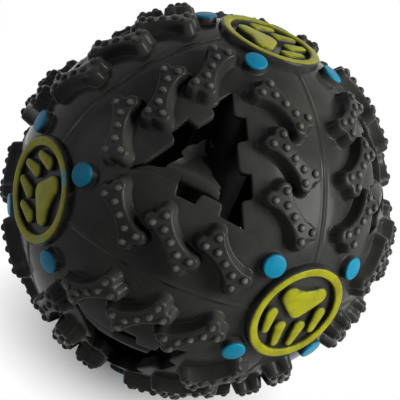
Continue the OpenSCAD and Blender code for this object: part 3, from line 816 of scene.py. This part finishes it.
def studs_mesh():
    """Four studs on the lines from the badge to the windows."""
    bm = bmesh.new()
    for i in range(4):
        stud = bmesh.new()
        face = ngon(stud, arc(0, 0, STUD_R + STUD_FOOT, 0, 352.5, 47), SKIN_R - STUD_SUNK)
        steps_in(stud, face, STUD_PROFILE)
        turn = Matrix.Rotation(math.radians(90 * i + 45), 4, "Z") @ Matrix.Rotation(math.radians(STUD_ANGLE), 4, "Y")
        bmesh.ops.transform(stud, matrix=turn, verts=stud.verts)
        join(bm, stud)
    return bm


def socket_ring():
    """The ring under a badge that holds one end of the sound tube."""
    inside, outside, bottom = CAP_R + SOCKET_GAP, CAP_R + SOCKET_GAP + SOCKET_WALL, CAP_Z - SOCKET_DEPTH
    return turned([
        (inside, bottom + SOCKET_CHAMFER), (inside + SOCKET_CHAMFER, bottom), (outside - SOCKET_CHAMFER, bottom),
        (outside, bottom + SOCKET_CHAMFER), (outside, SOCKET_TOP), (inside, SOCKET_TOP)])


# ---------------------------------------------------------------- the model
eighth, plate, web, tread = skin_eighth(), flap_plate(), flap_web(), bones_eighth()
# The web bends between these two points, across the middle of the flap's root
for name, signs in CORNERS.items():
    place = mirrored(signs)
    piece(f"skin_{name}", eighth.copy(), RUBBER, "ball", [f"panel_{name}"], matrix=place)
    piece(f"bone_tread_{name}", tread.copy(), RUBBER, "ball", [f"bones_{name}"], matrix=place)
    piece(f"door_{name}", plate.copy(), RUBBER, f"flap_{name}", [f"flap_{name}"], matrix=place)
    bend = piece(f"door_web_{name}", web.copy(), RUBBER, None, matrix=place)
    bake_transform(bend)
disc, pads, studs = badge_disc(), paw_mesh(), studs_mesh()
for name, (normal, toes) in BADGES.items():
    place = frame_matrix(toes, normal)
    piece(f"disc_{name}", disc.copy(), RUBBER, "ball", [f"badge_{name}"], matrix=place)
    piece(f"paw_relief_{name}", pads.copy(), YELLOW, "ball", [f"paw_{name}"], matrix=place)
    piece(f"stud_set_{name}", studs.copy(), BLUE, "ball", [f"studs_{name}"], matrix=place)
for name, side in (("upper", 1), ("lower", -1)):
    piece(f"socket_{name}", socket_ring(), RUBBER, "ball", matrix=mirrored((1, 1, side)))
for node, material in {
    "sound_tube": TUBE, "tube_cap_upper": CAP, "tube_cap_lower": CAP, "bumper_upper": FOAM, "bumper_lower": FOAM,
    "reed_carrier": CARRIER, "weight_ring": STEEL, "reed": BRASS,
}.items():
    mesh = frame["nodes"][node].data
    mesh.materials.clear()
    mesh.materials.append(material)

# ---------------------------------------------------------------- floor, light and camera
WORLD_LIGHT = 0.02
# The floor's grey, and the distances in metres over which it goes to white
FLOOR_GREY, CLEAR_FROM, CLEAR_TO = 0.35, 0.008, 0.042
FLOOR_SIZE, FLOOR_BELOW = 3.0, 0.00005
# The camera was fitted to the ball's outline and badges in the photograph. Its rows point right, up and back
CAMERA_LENS, CAMERA_SHIFT, CAMERA_DISTANCE = 103.215, (0.0028, 0.0035), 0.27719
CAMERA_ROWS = ((0.795824, -0.479373, 0.369954), (-0.057069, 0.548865, 0.833961), (-0.602833, -0.684799, 0.409442))


def seen_directly(tree):
    """1 for what the camera sees, straight or in a reflection, and 0 for light thrown on the object."""
    ray = add(tree, "ShaderNodeLightPath").outputs
    bent = add(tree, "ShaderNodeMath", {
        0: ray["Is Glossy Ray"], 1: ray["Is Transmission Ray"]}, operation="MAXIMUM").outputs[0]
    return add(tree, "ShaderNodeMath", {0: ray["Is Camera Ray"], 1: bent}, operation="MAXIMUM").outputs[0]


def floor_material():
    """A pale board. Seen directly it goes to white away from the object, and it keeps the object's shadow."""
    made = bpy.data.materials.new("pale_floor")
    made.use_nodes = True
    tree = made.node_tree
    board = tree.nodes["Principled BSDF"]
    board.inputs["Base Color"].default_value = (FLOOR_GREY, FLOOR_GREY, FLOOR_GREY, 1)
    board.inputs["Roughness"].default_value = 0.9
    place = add(tree, "ShaderNodeTexCoord").outputs["Object"]
    away = add(tree, "ShaderNodeVectorMath", {0: place}, operation="LENGTH").outputs["Value"]
    clear = add(tree, "ShaderNodeMapRange", {0: away, 1: CLEAR_FROM, 2: CLEAR_TO}).outputs["Result"]
    clear = add(tree, "ShaderNodeMath", {0: seen_directly(tree), 1: clear}, operation="MULTIPLY").outputs[0]
    glow = add(tree, "ShaderNodeEmission", {"Strength": 1.0})
    blend = add(tree, "ShaderNodeMixShader", {0: clear, 1: board.outputs["BSDF"], 2: glow.outputs["Emission"]})
    tree.links.new(blend.outputs["Shader"], tree.nodes["Material Output"].inputs["Surface"])
    return made


floor_bm = bmesh.new()
bmesh.ops.create_grid(floor_bm, x_segments=1, y_segments=1, size=FLOOR_SIZE)
floor_mesh = bpy.data.meshes.new("floor")
floor_bm.to_mesh(floor_mesh)
floor_bm.free()
floor = bpy.data.objects.new("floor", floor_mesh)
floor.location = (0, 0, box_at_load[0][2] - FLOOR_BELOW)
bpy.context.collection.objects.link(floor)
floor.data.materials.append(floor_material())

world = bpy.data.worlds.new("studio")
bpy.context.scene.world = world
world.use_nodes = True
tree = world.node_tree
background = tree.nodes["Background"]
level = add(tree, "ShaderNodeMapRange", {0: seen_directly(tree), 3: WORLD_LIGHT, 4: 1.0}).outputs["Result"]
tree.links.new(level, background.inputs["Strength"])
background.inputs["Color"].default_value = (1, 1, 1, 1)


def lamp(name, across, up, out, size, power, tint):
    """A round lamp that faces the ball. Its place is across, up and out as the camera sees it."""
    data = bpy.data.lights.new(name, "AREA")
    data.shape = "DISK"
    data.size = size
    data.energy = power
    data.color = tint
    made = bpy.data.objects.new(name, data)
    at = Vector(CAMERA_ROWS[0]) * across + Vector(CAMERA_ROWS[1]) * up + Vector(CAMERA_ROWS[2]) * out
    made.location = at
    made.rotation_mode = "QUATERNION"
    made.rotation_quaternion = (-at).to_track_quat("-Z", "Y")
    bpy.context.collection.objects.link(made)


# Each lamp's name, its place across, up and out in metres, its size in metres, its power and its tint
for row in (
    ("window_side", 0.68, -0.03, 0.30, 0.46, 9.2, (1.0, 0.995, 0.95)),
    ("spark", 0.52, 0.20, 0.40, 0.05, 1.4, (1, 1, 1)),
    ("fill", -0.58, 0.30, 0.35, 0.60, 1.2, (0.93, 0.94, 1.0)),
):
    lamp(*row)

camera_data = bpy.data.cameras.new("camera")
camera_data.sensor_width = 36
camera_data.lens = CAMERA_LENS
camera_data.shift_x, camera_data.shift_y = CAMERA_SHIFT
camera = bpy.data.objects.new("camera", camera_data)
camera_turn = Matrix(CAMERA_ROWS).transposed().to_4x4()
camera.matrix_world = Matrix.Translation(Vector(CAMERA_ROWS[2]) * CAMERA_DISTANCE) @ camera_turn
bpy.context.collection.objects.link(camera)
bpy.context.scene.camera = camera
bpy.context.scene.view_settings.view_transform = "Standard"
